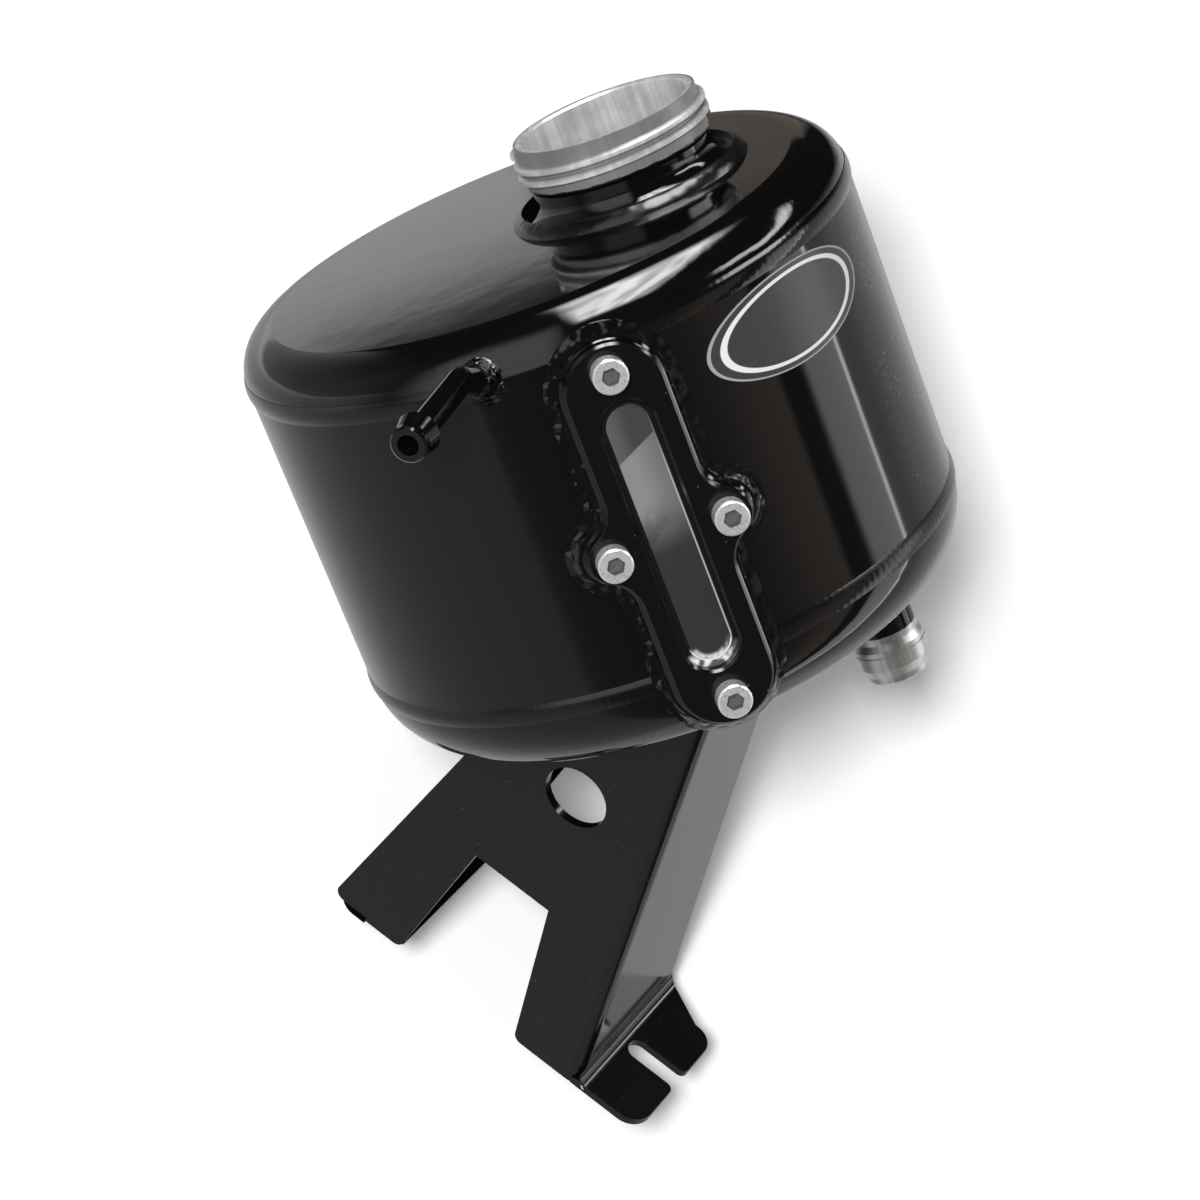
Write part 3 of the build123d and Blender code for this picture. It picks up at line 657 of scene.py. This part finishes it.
def floor_material():
    """Pale matt board, lifted a little for the camera alone, and clear from behind."""
    material, tree, shader = new_material("pale floor")
    shader.inputs["Base Color"].default_value = (floor_white, floor_white, floor_white, 1.0)
    shader.inputs["Roughness"].default_value = 0.9
    shader.inputs["Specular IOR Level"].default_value = 0.0
    shader.inputs["Emission Color"].default_value = (1.0, 1.0, 1.0, 1.0)
    path = add(tree, "ShaderNodeLightPath")
    seen = math_node(tree, "MAXIMUM", path.outputs["Is Camera Ray"], path.outputs["Is Transmission Ray"])
    link(tree, times(tree, seen, floor_lift), shader.inputs["Emission Strength"])
    clear = add(tree, "ShaderNodeBsdfTransparent")
    face = add(tree, "ShaderNodeNewGeometry")
    either = add(tree, "ShaderNodeMixShader")
    link(tree, face.outputs["Backfacing"], either.inputs[0])
    link(tree, shader.outputs[0], either.inputs[1])
    link(tree, clear.outputs[0], either.inputs[2])
    out = [n for n in tree.nodes if n.bl_idname == "ShaderNodeOutputMaterial"][0]
    link(tree, either.outputs[0], out.inputs["Surface"])
    return material


def make_floor():
    """Board that the tank lies on, square to the camera and just behind the tank."""
    points = []
    for node in nodes.values():
        flat = np.zeros(len(node.data.vertices) * 3)
        node.data.vertices.foreach_get("co", flat)
        points.append(flat.reshape(-1, 3))
    far = (np.concatenate(points) @ np.array(sight)).max()
    middle = drum_base + sight * (far - drum_base.dot(sight) + floor_gap)
    right, down = image_right * floor_reach, image_down * floor_reach
    corners = [middle + right * a + down * b for a, b in ((-1, 1), (1, 1), (1, -1), (-1, -1))]
    mesh = bpy.data.meshes.new("floor")
    mesh.from_pydata([tuple(corner) for corner in corners], [], [(0, 1, 2, 3)])
    mesh.materials.append(floor_material())
    board = bpy.data.objects.new("floor", mesh)
    bpy.context.scene.collection.objects.link(board)
    board.visible_glossy = False


make_floor()


def make_key_lamp():
    """One square soft lamp behind the camera, a little above it and to its left."""
    data = bpy.data.lights.new("key", "AREA")
    data.shape = "RECTANGLE"
    data.size, data.size_y = key_size, key_size
    data.energy = key_power
    lamp = bpy.data.objects.new("key", data)
    bpy.context.scene.collection.objects.link(lamp)
    lamp.location = drum_base - sight * key_distance - image_right * key_left - image_down * key_up
    lamp.rotation_mode = "QUATERNION"
    lamp.rotation_quaternion = (drum_base - lamp.location).to_track_quat("-Z", "Y")
    lamp.visible_camera = False
    lamp.visible_glossy = False


make_key_lamp()


def ramp_of(tree, value, stops, low, high, top=2.0):
    """Level that follows a list of (place, level) stops between low and high. Top is the
    highest level that the ramp can hold."""
    ramp = add(tree, "ShaderNodeValToRGB")
    link(tree, value, ramp.inputs[0])
    places = ramp.color_ramp.elements
    while len(places) < len(stops):
        places.new(0.5)
    for place, (where, level) in zip(places, stops):
        place.position = (where - low) / (high - low)
        place.color = (level / top, level / top, level / top, 1.0)
    split = add(tree, "ShaderNodeSeparateColor")
    link(tree, ramp.outputs["Color"], split.inputs[0])
    return times(tree, split.outputs[0], top)


def elevation_by_compass(tree, compass, stops):
    """Elevation that follows a list of (compass, elevation) stops from 0 to 180 degrees."""
    return ramp_of(tree, math_node(tree, "DIVIDE", compass, 180.0), stops, 0, 180, top=90.0)


def low_board_light(tree, compass, below):
    """Boards low down all round, with one narrow bright slit at the right."""
    turn = math_node(tree, "DIVIDE", plus(tree, compass, 180.0), 360.0)
    boards = ramp_of(tree, turn, low_board_stops, -180, 180)
    slit = band(tree, compass, (93.6, 94.4), (95.4, 96.2))
    return times(tree, below, plus(tree, boards, times(tree, slit, slit_level)))


def tall_board_light(tree, compass, elevation, below):
    """Tall board behind on the left. Its top edge drops and sharpens toward the back."""
    height = math_node(tree, "DIVIDE", plus(tree, elevation, 90.0), 180.0)
    level = ramp_of(tree, height, tall_board_stops, -90, 90)
    on_left = math_node(tree, "LESS_THAN", compass, 0.0)
    from_back = times(tree, plus(tree, compass, 180.0), on_left)
    edge = elevation_by_compass(tree, from_back, board_edge_stops)
    blur = span(tree, from_back, 0.5, 12.0, 0.25, 7.0)
    under_edge = span(tree, math_node(tree, "DIVIDE", minus(tree, edge, elevation), blur), -0.5, 0.5)
    past_back = math_node(tree, "GREATER_THAN", compass, 176.3)
    left_half = math_node(tree, "MAXIMUM", span(tree, compass, 20.0, -10.0), past_back)
    behind = span(tree, math_node(tree, "ABSOLUTE", compass), 60.0, 100.0)
    return times(tree, under_edge, left_half, level, minus(tree, 1.0, below), behind)


def patch_light(tree, compass, elevation):
    """Window-like patch at the front left."""
    patch = band(tree, compass, (-75.0, -50.0), (-14.0, -4.0))
    return times(tree, patch, span(tree, elevation, -3.0, 4.0), span(tree, elevation, 45.0, 75.0, 1.2, 0.0))


def brown_board(tree, compass, elevation):
    """Brown board behind on the right."""
    board = band(tree, compass, (160.0, 165.0), (173.2, 173.9))
    return times(tree, board, band(tree, elevation, (2.0, 4.0), (14.9, 15.6)))


def skylight(tree, x, y, z):
    """Streaky square lamp overhead, measured on a ceiling one unit up."""
    up = math_node(tree, "MAXIMUM", z, 0.001)
    east = math_node(tree, "DIVIDE", x, up)
    north = math_node(tree, "DIVIDE", y, up)
    lamp = band(tree, east, (-0.03, 0.07), (0.42, 0.70))
    lamp = times(tree, lamp, band(tree, north, (-0.95, -0.68), (0.25, 0.65)))
    stretched = together(tree, X=east, Y=times(tree, north, 0.25))
    streaks = span(tree, noise(tree, stretched, 7.0, 1.0), 0.35, 0.65, 0.6, 1.2)
    return times(tree, lamp, streaks, skylight_level)


def strip_light(tree, compass, elevation):
    """Long narrow lamp that rises from the front right to the right."""
    rise = elevation_by_compass(tree, compass, strip_stops)
    off = math_node(tree, "ABSOLUTE", minus(tree, elevation, rise))
    strip = times(tree, span(tree, off, 2.0, 6.5, 1.0, 0.0), band(tree, elevation, (4.0, 8.0), (36.0, 44.0)))
    return times(tree, strip, band(tree, compass, (50.0, 60.0), (98.0, 112.0)), strip_level)


def make_world():
    """Studio that only the gloss sees: boards low down all round, a tall one behind on the
    left, a brown one behind on the right, a patch at the front left, and two lamps. Matt
    surfaces get one even level from it, and the camera sees white."""
    world = bpy.data.worlds.new("studio")
    bpy.context.scene.world = world
    world.cycles.sampling_method = "NONE"
    world.use_nodes = True
    tree = world.node_tree
    tree.nodes.clear()
    x, y, z = apart(tree, add(tree, "ShaderNodeTexCoord").outputs["Generated"])
    compass = times(tree, compass_angle(tree, x, y), DEGREES)
    elevation = times(tree, math_node(tree, "ARCSINE", z), DEGREES)
    below = span(tree, elevation, -9.0, 3.0, 1.0, 0.0)
    brown = brown_board(tree, compass, elevation)
    tall_board = tall_board_light(tree, compass, elevation, below)
    boards = plus(tree, low_board_light(tree, compass, below), tall_board)
    boards = plus(tree, boards, plus(tree, patch_light(tree, compass, elevation), dark_level))
    boards = plus(tree, boards, times(tree, brown, brown_level))

    warm_from, warm_full, warm_end = warm_boards
    in_warm = math_node(tree, "LESS_THAN", compass, warm_end)
    warm = times(tree, span(tree, compass, warm_from, warm_full), in_warm)
    tint = mix_colour(tree, math_node(tree, "MAXIMUM", warm, brown), plain_tint, warm_tint)
    tinted = add(tree, "ShaderNodeVectorMath", operation="MULTIPLY")
    link(tree, boards, tinted.inputs[0])
    link(tree, tint, tinted.inputs[1])
    lamps = plus(tree, skylight(tree, x, y, z), strip_light(tree, compass, elevation))
    reflected = add(tree, "ShaderNodeVectorMath", operation="ADD")
    link(tree, tinted.outputs[0], reflected.inputs[0])
    link(tree, lamps, reflected.inputs[1])

    path = add(tree, "ShaderNodeLightPath")
    diffuse = path.outputs["Is Diffuse Ray"]
    seen = math_node(tree, "MAXIMUM", path.outputs["Is Camera Ray"], path.outputs["Is Transmission Ray"])
    even = math_node(tree, "MAXIMUM", seen, times(tree, diffuse, room_level))
    colour = mix_colour(tree, math_node(tree, "MAXIMUM", seen, diffuse), reflected.outputs[0], even)
    background = add(tree, "ShaderNodeBackground")
    link(tree, colour, background.inputs["Color"])
    out = add(tree, "ShaderNodeOutputWorld")
    link(tree, background.outputs[0], out.inputs["Surface"])


make_world()
bpy.context.scene.view_settings.view_transform = "Standard"
